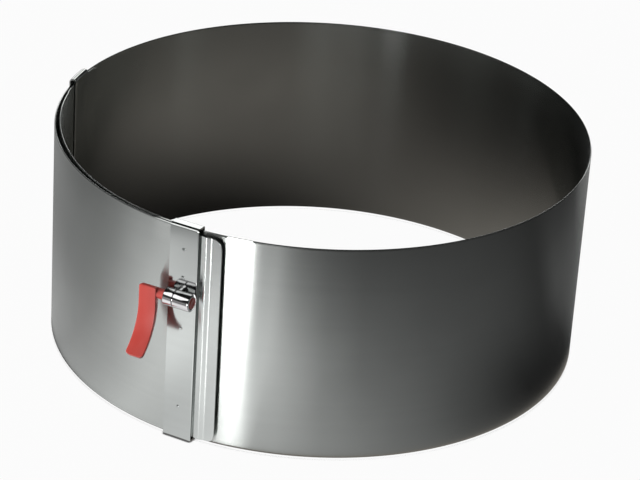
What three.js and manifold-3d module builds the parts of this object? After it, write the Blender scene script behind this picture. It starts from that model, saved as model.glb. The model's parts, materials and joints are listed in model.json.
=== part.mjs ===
// Adjustable cake ring, in millimetres, +Z up.
// One long strip of spring steel is rolled round so that its two ends overlap. A clip on the inner end holds
// the layers together, and a folded plate on the outer end carries a lever clamp that locks the strip at any
// diameter. The clamp faces -Y. Lengths named "out" are measured from the ring's axis towards the clamp.

import * as THREE from 'three';
import { mergeVertices } from 'three/addons/utils/BufferGeometryUtils.js';
import Module from 'manifold-3d';

const wasm = await Module();
wasm.setup();

// Strip
const bandHeight = 100;
const bandSheet = 0.6;
const ringRadius = 120.5;
const clampGap = 1;
const guideGap = 0.6;
const dipDepth = 0.9;
const dipSkew = 1.5;
const outerEndReach = 3;
const overlapAngle = 88.8;
const closeAngle = 345;
const endCornerRadius = 4;

// Clearances
const slideClearance = 0.3;
const seatClearance = 0.2;
const turnClearance = 0.25;

// Clamp plate, a channel folded over both edges of the strip
const plateWidth = 13.5;
const plateSheet = 0.8;
const plateLip = 6;
const foldBend = 0.9;

// Guide clip, a curved channel on the inner end, whose upper fold arches over the strip's edge
const guideAngle = 80.3;
const guideWidth = 14;
const guideSheet = 0.6;
const guideLip = 4.6;
const guideBend = 1.2;
const guideRise = 2.3;

// Grip lip, a bent sheet that goes on from the strip's outer end
const gripSheet = 0.6;
const gripEdgeInset = 1.5;
const gripPlateGap = 0.5;
const gripFlankRun = 2.9;
const gripFlankRise = 0.8;
const gripFacetRun = 2.4;
const gripFacetFall = 0.75;
const gripFlangeRun = 4.95;
const gripBend = 0.7;
const gripTopRadius = 5;
const gripBottomRadius = 4;

// Bearing block
const axisHeight = 69;
const axisStandoff = 4.4;
const barrelRadius = 3.9;
const barrelInset = 1.9;
const barrelOverhang = 0.9;
const barrelRound = 0.3;
const grooveOffset = -0.2;
const grooveDepth = 0.35;
const neckRadius = 3.2;
const spigotRadius = 2.3;

// Cam axle
const axleRadius = 2.5;
const camRadius = 2;
const camOffset = 0.35;
const camHalfWidth = 2;
const leverSpigotRadius = 1.5;
const leverSpigotLength = 7.5;
const capSpigotRadius = 1.2;
const capSpigotLength = 1;

// Pressure pin
const pinRadius = 1.3;
const pinChamfer = 0.3;

// Lever handle
const leverWidth = 8.6;
const leverTipWidth = 8.8;
const leverAbove = 3;
const leverStraight = 8.5;
const leverDrop = 28.5;
const leverCurl = 25.5;
const leverThickness = 3.3;
const leverTipThickness = 2;
const leverFront = 2.5;
const leverCornerRadius = 1.6;
const hubRadius = 2.3;
const hubStandout = 3.3;
const hubDepth = 6.2;

// End cap, a plug in the barrel's open end
const capStandout = 0.3;
const capWall = 0.5;
const capDome = 0.3;

// Fineness of the round forms
const stripStep = 3;
const roundSegments = 32;
const bendSteps = 4;
const guideSteps = 4;
const curlSteps = 8;
const mergeDistance = 1e-4;

// Heights: the strip runs between the folded edges, which carry the ring
const bandBottom = plateSheet + slideClearance;
const bandTop = bandBottom + bandHeight;
const plateTop = bandTop + slideClearance + plateSheet;
const guideTop = bandTop + guideRise;
const pivotHeight = bandBottom + axisHeight;

// Layers at the clamp, and the deepest place of the inner run, which slides between plate and lips
const outerRunBack = ringRadius - bandSheet;
const innerRunFace = outerRunBack - clampGap;
const deepestFace = innerRunFace - bandSheet - dipDepth;
const plateBack = Math.max(ringRadius, outerRunBack + gripSheet) + seatClearance;
const plateFace = plateBack + plateSheet;
const pivotOut = plateFace + axisStandoff;
const plateHalf = plateWidth / 2;

// Ends of the barrel and what follows from them along the pivot
const barrelLeft = -plateHalf + barrelInset;
const barrelRight = plateHalf + barrelOverhang;
const hubFace = barrelLeft - slideClearance;
const leverRight = hubFace - hubStandout;
const axleLeft = hubFace - leverSpigotLength;
const capEnd = barrelRight + capStandout;
const capSpigotEnd = capEnd - capWall - turnClearance;
const axleShoulder = capSpigotEnd - capSpigotLength;
const boreRadius = axleRadius + turnClearance;
const pinBoreRadius = pinRadius + turnClearance;

// A point in plan: the angle runs clockwise from the clamp as seen from above
function onRing(angle, radius) {
  const turn = THREE.MathUtils.degToRad(angle);
  return new THREE.Vector2(-radius * Math.sin(turn), -radius * Math.cos(turn));
}

// Angle that a length along the strip takes up
function alongStrip(length) {
  return THREE.MathUtils.radToDeg(length / ringRadius);
}

// Gap between the layers: the inner run dips inwards between the clamp and the clip
function layerGap(angle) {
  const clipEdge = guideAngle - alongStrip(guideWidth);
  const along = THREE.MathUtils.clamp(angle / clipEdge, 0, 1);
  const dip = dipDepth * Math.sin(Math.PI * along ** dipSkew) ** 2;
  return THREE.MathUtils.lerp(clampGap, guideGap, along) + dip;
}

// Radius of the strip's middle: the outer run is round, then the strip spirals in and becomes the inner run
function stripRadius(angle) {
  const closed = THREE.MathUtils.smoothstep(angle, overlapAngle, closeAngle);
  return ringRadius - bandSheet / 2 - (bandSheet + layerGap(angle - 360)) * closed;
}

// Booleans work on closed solids, and each piece becomes a mesh again at the end
function toSolid(geometry) {
  const bare = geometry.clone();
  bare.deleteAttribute('normal');
  bare.deleteAttribute('uv');
  const merged = mergeVertices(bare, mergeDistance);
  const triangles = [];
  for (let i = 0; i < merged.index.count; i += 3) {
    const [a, b, c] = merged.index.array.subarray(i, i + 3);
    if (a !== b && b !== c && c !== a) {
      triangles.push(a, b, c);
    }
  }
  return new wasm.Manifold(new wasm.Mesh({
    numProp: 3,
    vertProperties: new Float32Array(merged.attributes.position.array),
    triVerts: new Uint32Array(triangles),
  }));
}

function toGeometry(solid) {
  const { vertProperties, triVerts } = solid.getMesh();
  const geometry = new THREE.BufferGeometry();
  geometry.setAttribute('position', new THREE.BufferAttribute(vertProperties, 3));
  geometry.setIndex(new THREE.BufferAttribute(triVerts, 1));
  geometry.computeVertexNormals();
  return geometry;
}

// Extrusions: a side profile (out, z) along the width, a front outline (x, z) outwards, a plan upwards
function alongWidth(shape, fromX, toX, steps = 1) {
  const options = { depth: toX - fromX, steps, bevelEnabled: false, curveSegments: bendSteps };
  const geometry = new THREE.ExtrudeGeometry(shape, options);
  const turn = new THREE.Matrix4().makeBasis(
    new THREE.Vector3(0, -1, 0), new THREE.Vector3(0, 0, 1), new THREE.Vector3(-1, 0, 0));
  return geometry.applyMatrix4(turn).translate(toX, 0, 0);
}

function outwards(shape, fromOut, toOut) {
  const options = { depth: toOut - fromOut, bevelEnabled: false, curveSegments: bendSteps };
  const geometry = new THREE.ExtrudeGeometry(shape, options);
  return geometry.rotateX(Math.PI / 2).translate(0, -fromOut, 0);
}

function upwards(shape, fromZ, toZ) {
  const geometry = new THREE.ExtrudeGeometry(shape, { depth: toZ - fromZ, bevelEnabled: false });
  return geometry.translate(0, 0, fromZ);
}

// Round pieces: a profile of [radius, place] pairs turned about the pivot or about the pin's line
function turned(profile) {
  const points = profile.map(([radius, place]) => new THREE.Vector2(radius, place));
  return new THREE.LatheGeometry(points, roundSegments);
}

function aboutPivot(profile) {
  return toSolid(turned(profile).rotateZ(-Math.PI / 2).translate(0, -pivotOut, pivotHeight));
}

function aboutPin(profile) {
  return toSolid(turned(profile).rotateX(Math.PI).translate(0, 0, pivotHeight));
}

function rod(radius, from, to) {
  return [[0, from], [radius, from], [radius, to], [0, to]];
}

// A sheet's cross-section: a line with rounded bends, given half the thickness on each side
function bendLine(corners, bend) {
  const points = corners.map(([across, up]) => new THREE.Vector2(across, up));
  const path = new THREE.Path();
  path.moveTo(points[0].x, points[0].y);
  for (let i = 1; i < points.length - 1; i += 1) {
    const corner = points[i];
    const before = points[i - 1].clone().sub(corner).setLength(bend).add(corner);
    const after = points[i + 1].clone().sub(corner).setLength(bend).add(corner);
    path.lineTo(before.x, before.y);
    path.quadraticCurveTo(corner.x, corner.y, after.x, after.y);
  }
  path.lineTo(points.at(-1).x, points.at(-1).y);
  return path.getPoints(bendSteps);
}

function sheetShape(line, thickness) {
  const left = [];
  const right = [];
  line.forEach((point, i) => {
    const ahead = line[Math.min(i + 1, line.length - 1)];
    const behind = line[Math.max(i - 1, 0)];
    const side = ahead.clone().sub(behind).normalize().rotateAround(new THREE.Vector2(), Math.PI / 2);
    left.push(point.clone().addScaledVector(side, thickness / 2));
    right.push(point.clone().addScaledVector(side, -thickness / 2));
  });
  return new THREE.Shape([...left, ...right.reverse()]);
}

// Cross-section of a channel: a wall over the full height, folded at both edges into two short lips
function channelShape(wall, lip, lipDepth, sheet, top, bend) {
  const low = sheet / 2;
  const high = top - sheet / 2;
  const lowerFold = [[lip, lipDepth], [lip, low], [wall, low]];
  const upperFold = [[wall, high], [lip, high], [lip, top - lipDepth]];
  return sheetShape(bendLine([...lowerFold, ...upperFold], bend), sheet);
}

// A closed outline with rounded corners, given as [across, up, radius]
function roundedShape(corners) {
  const shape = new THREE.Shape();
  corners.forEach(([x, y, radius], i) => {
    const corner = new THREE.Vector2(x, y);
    const last = new THREE.Vector2(...corners.at(i - 1));
    const next = new THREE.Vector2(...corners[(i + 1) % corners.length]);
    const before = last.sub(corner).setLength(radius).add(corner);
    const after = next.sub(corner).setLength(radius).add(corner);
    if (i === 0) {
      shape.moveTo(before.x, before.y);
    } else {
      shape.lineTo(before.x, before.y);
    }
    if (radius > 0) {
      shape.quadraticCurveTo(x, y, after.x, after.y);
    }
  });
  return shape;
}

// Strip, with the pin's hole in its outer end and rounded corners on its inner end
function ringBand() {
  const outerEndAngle = alongStrip(outerEndReach);
  const span = outerEndAngle + 360 + overlapAngle;
  const steps = Math.round(span / stripStep);
  const outside = [];
  const inside = [];
  for (let i = 0; i <= steps; i += 1) {
    const angle = -outerEndAngle + span * i / steps;
    outside.push(onRing(angle, stripRadius(angle) + bandSheet / 2));
    inside.push(onRing(angle, stripRadius(angle) - bandSheet / 2));
  }
  const plan = new THREE.Shape([...outside, ...inside.reverse()]);
  const strip = toSolid(upwards(plan, bandBottom, bandTop));
  const hole = aboutPin(rod(pinBoreRadius, innerRunFace + clampGap / 2, plateFace));
  return strip
    .subtract(hole)
    .subtract(endCorner(bandBottom, 1))
    .subtract(endCorner(bandTop, -1));
}

function endCorner(edge, side) {
  const margin = guideGap / 2;
  const radius = endCornerRadius;
  const face = stripRadius(360 + overlapAngle) + bandSheet / 2;
  const shape = new THREE.Shape();
  shape.moveTo(-margin, edge - side * margin);
  shape.lineTo(radius, edge - side * margin);
  shape.lineTo(radius, edge);
  shape.quadraticCurveTo(0, edge, 0, edge + side * radius);
  shape.lineTo(-margin, edge + side * radius);
  const cutter = outwards(shape, face - bandSheet - margin, face + margin);
  return toSolid(cutter.rotateZ(THREE.MathUtils.degToRad(-overlapAngle)));
}

// Clamp plate: a flat channel whose lips reach behind the inner run
function clampPlate() {
  const lipFace = Math.sqrt(deepestFace ** 2 - plateHalf ** 2) - slideClearance;
  const wall = plateBack + plateSheet / 2;
  const lip = lipFace - plateSheet / 2;
  const shape = channelShape(wall, lip, plateLip, plateSheet, plateTop, foldBend);
  const channel = toSolid(alongWidth(shape, -plateHalf, plateHalf));
  return channel.subtract(aboutPin(rod(spigotRadius + seatClearance, outerRunBack, pivotOut)));
}

// Guide clip: the same channel the other way round, bent to the ring, with lips outside the outer run
function guideClip() {
  const wall = stripRadius(360 + guideAngle) - bandSheet / 2 - slideClearance - guideSheet / 2;
  const lip = ringRadius + slideClearance + guideSheet / 2;
  const shape = channelShape(wall, lip, guideLip, guideSheet, guideTop, guideBend);
  const channel = alongWidth(shape, -guideWidth / 2, guideWidth / 2, guideSteps);
  const position = channel.attributes.position;
  for (let i = 0; i < position.count; i += 1) {
    const angle = guideAngle - alongStrip(position.getX(i));
    const place = onRing(angle, -position.getY(i));
    position.setXY(i, place.x, place.y);
  }
  return toSolid(channel);
}

// Grip lip: from its foot under the plate it rises to a ridge, falls again and ends in a flat flange
function gripLip() {
  const foot = outerRunBack + gripSheet / 2;
  const heel = outerEndReach + slideClearance;
  const rise = plateHalf + gripPlateGap;
  const crest = rise + gripFlankRun;
  const facet = crest + gripFacetRun;
  const tip = facet + gripFlangeRun;
  const ridge = foot + gripFlankRise;
  const flange = ridge - gripFacetFall;
  const plan = bendLine([
    [heel, -foot],
    [rise, -foot],
    [crest, -ridge],
    [facet, -flange],
    [tip, -flange],
  ], gripBend);
  const low = bandBottom + gripEdgeInset;
  const high = bandTop - gripEdgeInset;
  const sheet = toSolid(upwards(sheetShape(plan, gripSheet), low, high));
  const outline = roundedShape([
    [heel, low, 0],
    [tip, low, gripBottomRadius],
    [tip, high, gripTopRadius],
    [heel, high, 0],
  ]);
  return sheet.intersect(toSolid(outwards(outline, innerRunFace, ridge + gripSheet)));
}

// Bearing block: a barrel on a short neck, bored along the pivot for the axle and across it for the pin
function bearingBlock() {
  const barrel = aboutPivot([
    [0, barrelLeft],
    [barrelRadius - barrelRound, barrelLeft],
    [barrelRadius, barrelLeft + barrelRound],
    [barrelRadius, grooveOffset - grooveDepth],
    [barrelRadius - grooveDepth, grooveOffset],
    [barrelRadius, grooveOffset + grooveDepth],
    [barrelRadius, barrelRight - barrelRound],
    [barrelRadius - barrelRound, barrelRight],
    [0, barrelRight],
  ]);
  const neck = aboutPin([
    [0, plateBack],
    [spigotRadius, plateBack],
    [spigotRadius, plateFace + seatClearance],
    [neckRadius, plateFace + seatClearance],
    [neckRadius, pivotOut],
    [0, pivotOut],
  ]);
  const axleBore = aboutPivot(rod(boreRadius, hubFace, capEnd));
  const pinBore = aboutPin(rod(pinBoreRadius, outerRunBack, pivotOut));
  return barrel.add(neck).subtract(axleBore).subtract(pinBore);
}

// Cam axle: two journals, an eccentric between them that bears on the pin, and a spigot at each end
function camAxle() {
  const journals = aboutPivot([
    [0, axleLeft],
    [leverSpigotRadius, axleLeft],
    [leverSpigotRadius, hubFace + slideClearance / 2],
    [axleRadius, hubFace + slideClearance / 2],
    [axleRadius, axleShoulder],
    [capSpigotRadius, axleShoulder],
    [capSpigotRadius, capSpigotEnd],
    [0, capSpigotEnd],
  ]);
  const relief = aboutPivot(rod(boreRadius, -camHalfWidth, camHalfWidth));
  const camReach = camHalfWidth + camOffset;
  const cam = aboutPivot(rod(camRadius, -camReach, camReach));
  return journals.subtract(relief).add(cam.translate([0, camOffset, 0]));
}

// Pressure pin: from the cam, through the block, the plate and the outer run, to the inner run
function pressurePin() {
  const inner = innerRunFace + slideClearance;
  const outer = pivotOut - camRadius - camOffset - turnClearance;
  return aboutPin([
    [0, inner],
    [pinRadius - pinChamfer, inner],
    [pinRadius, inner + pinChamfer],
    [pinRadius, outer - pinChamfer],
    [pinRadius - pinChamfer, outer],
    [0, outer],
  ]);
}

// Lever handle: a blade that widens and curls outwards at its free end, with a bored hub for the axle
function leverHandle() {
  const top = pivotHeight + leverAbove;
  const curlAngle = Math.asin((leverDrop - leverStraight) / leverCurl);
  const tip = top - leverDrop - leverTipThickness * Math.sin(curlAngle);
  const middle = leverRight - leverWidth / 2;
  const front = pivotOut + leverFront;
  const outline = roundedShape([
    [middle - leverTipWidth / 2, tip, leverCornerRadius],
    [middle + leverTipWidth / 2, tip, leverCornerRadius],
    [leverRight, top, leverCornerRadius / 2],
    [leverRight - leverWidth, top, leverCornerRadius / 2],
  ]);
  const faceLine = [new THREE.Vector2(front, top)];
  const backLine = [new THREE.Vector2(front - leverThickness, top)];
  for (let i = 0; i <= curlSteps; i += 1) {
    const turn = curlAngle * i / curlSteps;
    const thickness = THREE.MathUtils.lerp(leverThickness, leverTipThickness, i / curlSteps);
    const across = new THREE.Vector2(Math.cos(turn), Math.sin(turn));
    const centre = new THREE.Vector2(front + leverCurl, top - leverStraight);
    faceLine.push(centre.clone().addScaledVector(across, -leverCurl));
    backLine.push(centre.clone().addScaledVector(across, -leverCurl - thickness));
  }
  const profile = new THREE.Shape([...faceLine, ...backLine.reverse()]);
  const reach = front + leverCurl;
  const bladeHalf = Math.max(leverWidth, leverTipWidth) / 2;
  const blade = toSolid(alongWidth(profile, middle - bladeHalf, middle + bladeHalf));
  const face = toSolid(outwards(outline, plateFace, reach));
  const sunkHub = aboutPivot(rod(hubRadius, leverRight - hubDepth, leverRight));
  const sunk = toSolid(outwards(outline, plateFace, front));
  const hub = aboutPivot(rod(hubRadius, leverRight - hubStandout, hubFace));
  const bore = aboutPivot(rod(leverSpigotRadius + turnClearance, axleLeft - turnClearance, barrelLeft));
  return blade.intersect(face).add(sunkHub.intersect(sunk)).add(hub).subtract(bore);
}

// End cap: a small domed plug on the axle's right-hand spigot
function endCap() {
  const back = axleShoulder + seatClearance;
  const cap = aboutPivot([
    [0, back],
    [axleRadius, back],
    [axleRadius, capEnd - capDome],
    [axleRadius - capDome / 2, capEnd - capDome / 4],
    [axleRadius - 2 * capDome, capEnd],
    [0, capEnd],
  ]);
  return cap.subtract(aboutPivot(rod(capSpigotRadius + turnClearance, axleShoulder, capEnd - capWall)));
}

// Finishes
function metal(color, roughness) {
  return new THREE.MeshStandardMaterial({ color, roughness, metalness: 1 });
}

function redPlastic() {
  return new THREE.MeshStandardMaterial({ color: 0xc8473d, roughness: 0.42, metalness: 0 });
}

// Assembly, standing on z = 0, with its depth centred on the origin
const ring = new THREE.Group();

function addPiece(name, solid, material) {
  const mesh = new THREE.Mesh(toGeometry(solid), material);
  mesh.name = name;
  ring.add(mesh);
}

addPiece('ring_band', ringBand(), metal(0xb9bbb8, 0.32));
addPiece('guide_clip', guideClip(), metal(0xc4c5c2, 0.25));
addPiece('clamp_plate', clampPlate(), metal(0xd2d4d2, 0.14));
addPiece('grip_lip', gripLip(), metal(0xd0d2d0, 0.16));
addPiece('bearing_block', bearingBlock(), metal(0xe2e4e4, 0.06));
addPiece('cam_axle', camAxle(), metal(0xa8aaab, 0.28));
addPiece('pressure_pin', pressurePin(), metal(0x9c9ea0, 0.3));
addPiece('lever_handle', leverHandle(), redPlastic());
addPiece('end_cap', endCap(), redPlastic());

const middle = new THREE.Box3().setFromObject(ring).getCenter(new THREE.Vector3());
ring.position.y = -middle.y;

const cakeRing = new THREE.Group();
cakeRing.add(ring);

export default cakeRing;
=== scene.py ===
# %% [markdown]
# # An adjustable cake ring
# A long strip of spring steel is rolled round until its ends overlap. A clip on its inner end holds the two
# layers together, and a folded plate on its outer end carries a small cam clamp with a red lever. The packed
# frame already has every part in its place, in metres. This notebook gives each part its real edges, bends
# and finish.

import json
import math
from functools import partial

import bmesh
import bpy
from mathutils import Matrix, Vector


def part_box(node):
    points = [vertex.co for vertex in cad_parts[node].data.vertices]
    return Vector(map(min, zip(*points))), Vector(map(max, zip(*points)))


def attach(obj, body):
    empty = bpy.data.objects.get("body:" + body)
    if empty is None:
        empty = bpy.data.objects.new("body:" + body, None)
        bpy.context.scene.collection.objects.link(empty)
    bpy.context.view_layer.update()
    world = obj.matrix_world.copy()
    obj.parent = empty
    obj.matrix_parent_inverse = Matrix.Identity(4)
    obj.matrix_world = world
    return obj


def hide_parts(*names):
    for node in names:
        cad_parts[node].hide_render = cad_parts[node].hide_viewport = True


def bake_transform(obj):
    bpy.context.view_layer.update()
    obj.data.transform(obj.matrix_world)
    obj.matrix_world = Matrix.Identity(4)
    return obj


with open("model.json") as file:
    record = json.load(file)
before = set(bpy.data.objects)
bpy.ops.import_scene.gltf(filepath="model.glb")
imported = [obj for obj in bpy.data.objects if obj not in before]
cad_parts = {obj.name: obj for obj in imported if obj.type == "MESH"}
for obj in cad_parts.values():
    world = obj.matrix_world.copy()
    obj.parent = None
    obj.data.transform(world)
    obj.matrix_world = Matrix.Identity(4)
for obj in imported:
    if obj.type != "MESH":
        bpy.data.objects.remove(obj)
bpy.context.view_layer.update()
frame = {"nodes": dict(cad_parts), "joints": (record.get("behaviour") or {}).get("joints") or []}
scene = bpy.context.scene
print("nodes:", sorted(frame["nodes"]))

# %% [markdown]
# ## Places to measure from
# Every part of the ring lies round one upright axis, and every part of the clamp round one pivot. Both are
# joints of the frame, so they are read from it and not typed in again. The clamp faces -Y.

# %% Axis, pivot and heights
mm = 0.001
joints = {joint["name"]: joint for joint in frame["joints"]}
ring_axis = Vector(joints["size_slide"]["pos_m"])
pivot = Vector(joints["lever_swing"]["pos_m"])
pivot_out = ring_axis.y - pivot.y
band_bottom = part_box("ring_band")[0].z
band_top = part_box("ring_band")[1].z
band_height = band_top - band_bottom
plate_low, plate_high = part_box("clamp_plate")


def at_clamp(x, out, z):
    """A point given across the clamp, outwards from the ring's axis, and upwards."""
    return Vector((x, ring_axis.y - out, z))


def on_ring(angle, radius, z):
    """A point given by degrees clockwise from the clamp, seen from above."""
    turn = math.radians(angle)
    return at_clamp(-radius * math.sin(turn), radius * math.cos(turn), z)


print("ring axis", tuple(ring_axis), "pivot", tuple(pivot))

# %% [markdown]
# ## Camera
# The photograph was taken from a good way off with a long lens, a little above the ring and to the right of
# the clamp, and the camera leaned slightly. Turning those facts into one matrix is safer than nudging an
# object: the columns are the camera's right, its up and its back.

# %% Camera
picture_width = 640
view_azimuth = math.radians(26.955)
view_elevation = math.radians(26.894)
view_roll = math.radians(3.704)
view_distance = 1277.2 * mm
aim_sideways = 0.7 * mm
focal_pixels = 2804.25
centre_rise_pixels = 13.44

forward = Vector((
    -math.sin(view_azimuth) * math.cos(view_elevation),
    math.cos(view_azimuth) * math.cos(view_elevation),
    -math.sin(view_elevation),
))
level = Vector((math.cos(view_azimuth), math.sin(view_azimuth), 0))
upright = level.cross(forward)
camera_right = math.cos(view_roll) * level + math.sin(view_roll) * upright
camera_up = math.cos(view_roll) * upright - math.sin(view_roll) * level



def place_object(name, data):
    """A new object in the scene."""
    made = bpy.data.objects.new(name, data)
    scene.collection.objects.link(made)
    return made


camera_data = bpy.data.cameras.new("Camera")
camera_data.sensor_width = 36
camera_data.lens = focal_pixels * camera_data.sensor_width / picture_width
camera_data.shift_y = -centre_rise_pixels / picture_width
camera_data.clip_end = 20
camera = place_object("Camera", camera_data)
aim = Vector((ring_axis.x, ring_axis.y, (band_bottom + band_top) / 2)) + level * aim_sideways
turned = Matrix((camera_right, camera_up, -forward)).transposed().to_4x4()
camera.matrix_world = Matrix.Translation(aim - forward * view_distance) @ turned
scene.camera = camera
scene.view_settings.view_transform = "Standard"
print("lens", round(camera_data.lens, 1), "mm")

# %% [markdown]
# ## Nodes in one line
# Materials, node groups and Geometry Nodes trees are all made of nodes, and each takes several lines to add,
# set and link. One helper does that in a line, and a few more on top of it do small sums. A value may be a
# number or another node's output.


# %% Helpers for node trees
def feed(socket, value):
    """Links an output to the socket, or sets a plain value on it."""
    if isinstance(value, bpy.types.NodeSocket):
        socket.id_data.links.new(value, socket)
    else:
        socket.default_value = value


def feed_all(node, inputs):
    """Feeds several inputs, given by name or number."""
    for label, value in inputs.items():
        feed(node.inputs[label], value)


def add(tree, kind, inputs=None, **settings):
    """One node with its settings and its inputs."""
    node = tree.nodes.new(kind)
    for label, value in settings.items():
        setattr(node, label, value)
    feed_all(node, inputs or {})
    return node


def tree_of(*values):
    """The node tree that the first output among the values belongs to."""
    return next(value.id_data for value in values if isinstance(value, bpy.types.NodeSocket))


def calc(operation, *values):
    """One Math node, and its result."""
    return add(tree_of(*values), "ShaderNodeMath", dict(enumerate(values)), operation=operation).outputs[0]


times, plus, minus, over = (partial(calc, name) for name in ("MULTIPLY", "ADD", "SUBTRACT", "DIVIDE"))


def scaled_sum(base, *parts):
    """base plus each (mask, weight)."""
    total = base
    for mask, weight in parts:
        total = plus(times(mask, weight), total)
    return total


def from_middle(x, y):
    """Length of (x, y)."""
    return calc("SQRT", plus(calc("POWER", x, 2.0), calc("POWER", y, 2.0)))


def smooth_range(value, start, end, first=0.0, last=1.0):
    """Goes from first to last with soft ends while the value goes from start to end."""
    inputs = {"Value": value, "From Min": start, "From Max": end, "To Min": first, "To Max": last}
    return add(tree_of(value), "ShaderNodeMapRange", inputs, interpolation_type="SMOOTHSTEP").outputs["Result"]


def mix_colours(share, first, second):
    """One colour mix, by a share from 0 to 1."""
    node = add(tree_of(share), "ShaderNodeMix", {"Factor": share}, data_type="RGBA")
    for socket, value in zip([s for s in node.inputs if s.type == "RGBA"], (first, second)):
        feed(socket, value)
    return next(s for s in node.outputs if s.type == "RGBA")


def combine(x, y, z=0.0):
    """A vector from its three parts."""
    return add(tree_of(x, y, z), "ShaderNodeCombineXYZ", {0: x, 1: y, 2: z}).outputs[0]


def split(vector):
    """The three parts of a vector."""
    return add(tree_of(vector), "ShaderNodeSeparateXYZ", {0: vector}).outputs


def grey(value):
    return (value, value, value, 1)


print("node helpers ready")

# %% [markdown]
# ## Surroundings in the steel
# Polished metal has hardly any colour of its own: it shows what stands round it. In the studio that is a pale
# table with a bright patch in front of the clamp, a grey left side and a dark right side. So the room is given
# one brightness for each direction, and the floor a painted glow of light and shade by direction as well; ramps
# hold them: 0 degrees is straight in front of the clamp, positive is to its right.


# %% Brightness by direction
def direction_share(x, y):
    """Direction of (x, y) as a share of a full turn, 0.5 straight in front of the clamp."""
    turn = calc("ARCTAN2", x, times(y, -1.0))
    return scaled_sum(0.5, (turn, 0.5 / math.pi))


def by_direction(x, y, stops):
    """A grey for each direction, from (degrees, brightness) pairs."""
    node = add(tree_of(x), "ShaderNodeValToRGB", {0: direction_share(x, y)})
    node.color_ramp.interpolation = "LINEAR"
    elements = node.color_ramp.elements
    while len(elements) < len(stops):
        elements.new(1.0)
    for element, (degrees, brightness) in zip(elements, stops):
        element.position = degrees / 360 + 0.5
        element.color = grey(brightness)
    return node.outputs["Color"]


def place_in(tree, space):
    """The shaded point's place on its object, or the direction into the room."""
    return add(tree, "ShaderNodeTexCoord").outputs[space]


def camera_share(tree):
    """1 for rays straight from the camera, 0 for all others."""
    return add(tree, "ShaderNodeLightPath").outputs["Is Camera Ray"]


def mirror_share(tree):
    """1 for what a mirroring surface shows the camera, 0 for all other rays."""
    path = add(tree, "ShaderNodeLightPath").outputs
    mirrored = calc("MAXIMUM", path["Is Glossy Ray"], path["Is Transmission Ray"])
    return times(mirrored, calc("LESS_THAN", path["Diffuse Depth"], 0.5))


def bare_tree(owner):
    """The emptied node tree of a material or a world."""
    owner.use_nodes = True
    owner.node_tree.nodes.clear()
    return owner.node_tree


print("surroundings helpers ready")

# %% [markdown]
# ## Floor
# A plain pale floor. The camera sees it almost white, with a trace of the ring's shadow and a thin dark line of
# painted contact shadow, from an occlusion node, where the ring stands on it. A reflection sees the floor glow
# with painted light and shade instead: painted light for the bright patch in front of the clamp, and inside the
# ring painted shade, dark on the left, behind the wall that keeps the light out, and lighter on the right.

# %% Floor
floor_half = 4.0
floor_seen_white = 0.965
floor_bounce = 0.22
# Painted shade inside the ring: darker on the left behind the wall, lighter on the right.
painted_shade_inside_left = (0.012, 0.011, 0.01, 1)
painted_light_inside_right = (0.3, 0.275, 0.25, 1)
inside_reach = (-95 * mm, 70 * mm)
shade_edge = 121.8 * mm
shade_soft = 0.6 * mm
wall_out = 135 * mm
near_out = 200 * mm
far_out = 290 * mm
# Painted light and shade on the floor as reflections see it, by direction: by the wall, nearer and farther out.
painted_light_by_wall = [
    (-180, 0.25), (-90, 0.44), (-64, 0.55), (-47, 0.5), (-34, 0.65), (-24, 0.84), (-16, 1.02),
    (-6, 0.92), (2, 0.98), (7, 1.1), (9.5, 1.45), (12, 1.15), (15.5, 0.74), (20, 0.72), (30, 0.5),
    (49, 0.28), (67, 0.13), (81, 0.05), (90, 0.02), (116, 0.02), (130, 0.12), (180, 0.2),
]
painted_light_near = [
    (-180, 0.2), (-90, 0.33), (-75, 0.33), (-60, 0.34), (-50, 0.4), (-44, 0.5), (-33, 0.84),
    (-28, 1.1), (-20, 1.32), (-12, 1.38), (-8, 1.2), (-3, 1.15), (3, 2.0), (7, 1.5), (10, 1.1),
    (14, 1.25), (19, 1.0), (31, 0.5), (42, 0.29), (53, 0.24), (63, 0.19), (76, 0.15), (95, 0.11),
    (111, 0.06), (121, 0.14), (180, 0.14),
]
painted_light_far = [
    (-180, 0.25), (-96, 0.46), (-83, 0.4), (-70, 0.38), (-57, 0.46), (-48, 0.64), (-44, 0.76),
    (-38, 0.98), (-30, 1.12), (-22, 1.08), (-16, 0.84), (-5, 0.84), (6, 1.0), (11, 1.0), (14, 0.95),
    (18, 0.5), (22, 0.27), (27, 0.19), (32, 0.15), (44, 0.13), (83, 0.12), (108, 0.07), (128, 0.06),
    (141, 0.08), (147, 0.25), (180, 0.4),
]
# Painted dimming of that glow far from the ring.
beyond_out = (298 * mm, 307 * mm)
beyond_share = 0.35
# Painted contact shadow: how far and how dark the occlusion darkens the floor's white glow.
contact_shadow_reach = 1.4 * mm
contact_shadow_dark = 0.1
contact_shadow_range = (0.6, 0.9)
contact_shadow_samples = 8


def glow(colour):
    return add(tree_of(colour), "ShaderNodeEmission", {"Color": colour}).outputs[0]


def mix_shaders(share, first, second):
    return add(tree_of(share), "ShaderNodeMixShader", {0: share, 1: first, 2: second}).outputs[0]


def painted_floor_glow(x, away):
    """The floor's painted glow of light and shade as reflections see it, outside the ring and inside it."""
    distance = from_middle(x, away)
    patch = by_direction(x, away, painted_light_by_wall)
    for start, end, stops in ((wall_out, near_out, painted_light_near), (near_out, far_out, painted_light_far)):
        further = by_direction(x, away, stops)
        patch = mix_colours(smooth_range(distance, start, end), patch, further)
    patch = mix_colours(smooth_range(distance, *beyond_out, 1.0, beyond_share), grey(0.0), patch)
    inside = mix_colours(smooth_range(x, *inside_reach), painted_shade_inside_left, painted_light_inside_right)
    outside = smooth_range(distance, shade_edge - shade_soft, shade_edge)
    return mix_colours(outside, inside, patch)


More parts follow.
